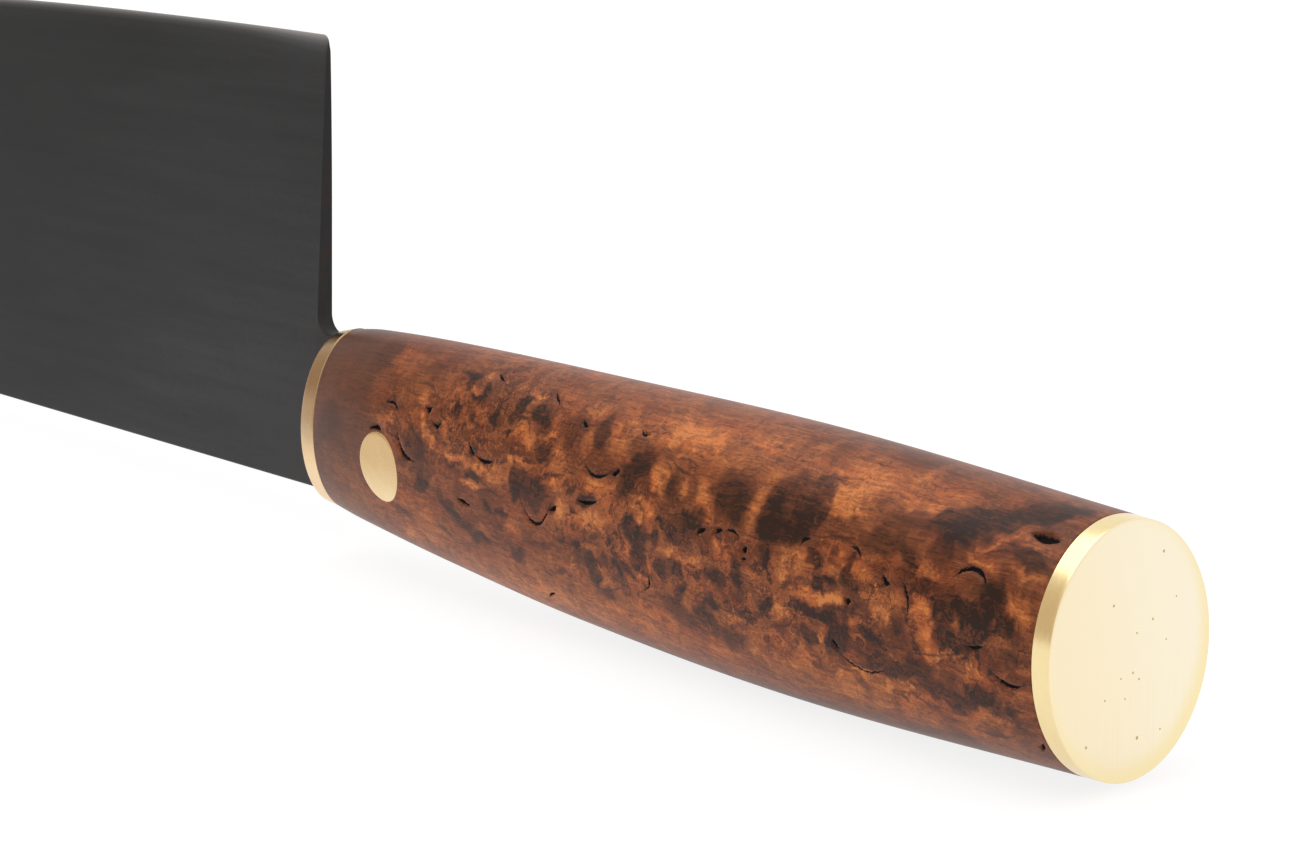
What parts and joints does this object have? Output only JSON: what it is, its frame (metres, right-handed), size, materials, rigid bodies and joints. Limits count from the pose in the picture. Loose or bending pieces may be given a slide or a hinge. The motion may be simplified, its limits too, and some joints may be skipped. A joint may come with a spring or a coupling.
{
  "type": "gyuto knife",
  "caption": "Chef's knife with a tall dark forged blade, hidden tang, slim oval brass bolster, one-piece stained burl grip, flush brass cross pin and brass butt cap.",
  "frame": {"origin": "centre of the butt cap's flat outer face, at the back end of the handle", "axes": "+X out of the butt cap, away from the blade, so the tip lies at -X; +Z from the spine to the cutting edge, the way up it is shown in the picture; +Y across the blade, to the far side in the picture"},
  "size_m": [0.3666, 0.0206, 0.059],
  "materials": {
    "forged_steel": "dark forge patina with a satin sheen, bright ground bevel at the edge",
    "bolster_brass": "polished brass with a softened front rim",
    "stained_burl": "stained and oiled curly burl, satin, with small open cracks",
    "bedding_resin": "cured clear amber resin",
    "brass": "polished flush with the wood",
    "cap_brass": "fine sanded face with tiny pits, bright rim",
    "dowel_brass": "plain drawn rod"
  },
  "bodies": {
    "root": {"blade": "forged_steel", "bolster": "bolster_brass", "grip": "stained_burl", "tang_bed": "bedding_resin", "cross_pin": "brass", "butt_cap": "cap_brass", "cap_dowel_upper": "dowel_brass", "cap_dowel_lower": "dowel_brass"}
  },
  "joints": []
}
